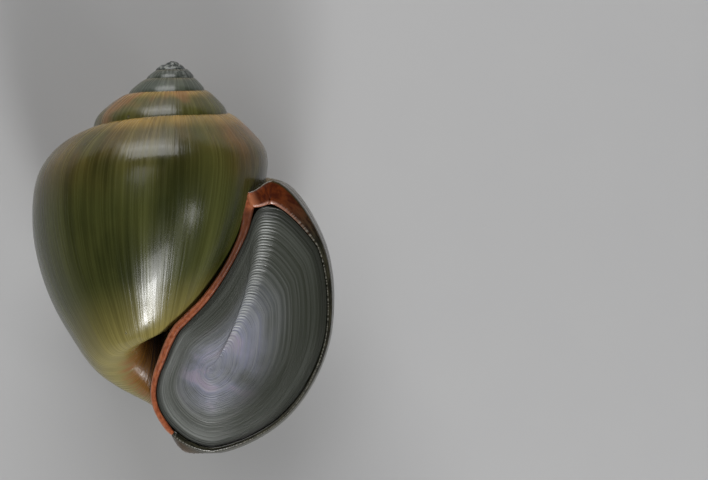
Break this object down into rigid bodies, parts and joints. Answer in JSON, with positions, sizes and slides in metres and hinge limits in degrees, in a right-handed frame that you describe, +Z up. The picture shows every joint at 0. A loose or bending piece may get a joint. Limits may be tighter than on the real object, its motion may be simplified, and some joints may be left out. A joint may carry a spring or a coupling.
{
  "type": "apple snail",
  "caption": "Apple snail drawn into its coiled olive-brown shell, lying on the back of the shell with the closed operculum facing up.",
  "frame": {"origin": "middle of the bounding box's underside, on the floor that the shell lies on", "axes": "+Y along the coiling axis to the tip of the spire, +Z up, the way the aperture and the operculum face, and +X to the outer lip's side"},
  "size_m": [0.0592, 0.075, 0.0508],
  "materials": {
    "shell_olive": "glossy olive-brown snail shell",
    "shell_ochre": "glossy ochre snail shell",
    "shell_dark_tip": "worn grey-green snail shell",
    "lip_dark": "glossy dark brown shell edge",
    "lip_orange": "smooth terracotta callus",
    "operculum_grey": "ringed grey operculum with a faint purple sheen"
  },
  "bodies": {
    "root": {"body_whorl": "shell_olive", "penultimate_whorl": "shell_olive", "third_whorl": "shell_ochre", "fourth_whorl": "shell_dark_tip", "fifth_whorl": "shell_dark_tip", "worn_tip": "shell_dark_tip", "outer_lip": "lip_dark", "inner_lip": "lip_orange", "operculum": "operculum_grey"}
  },
  "joints": []
}
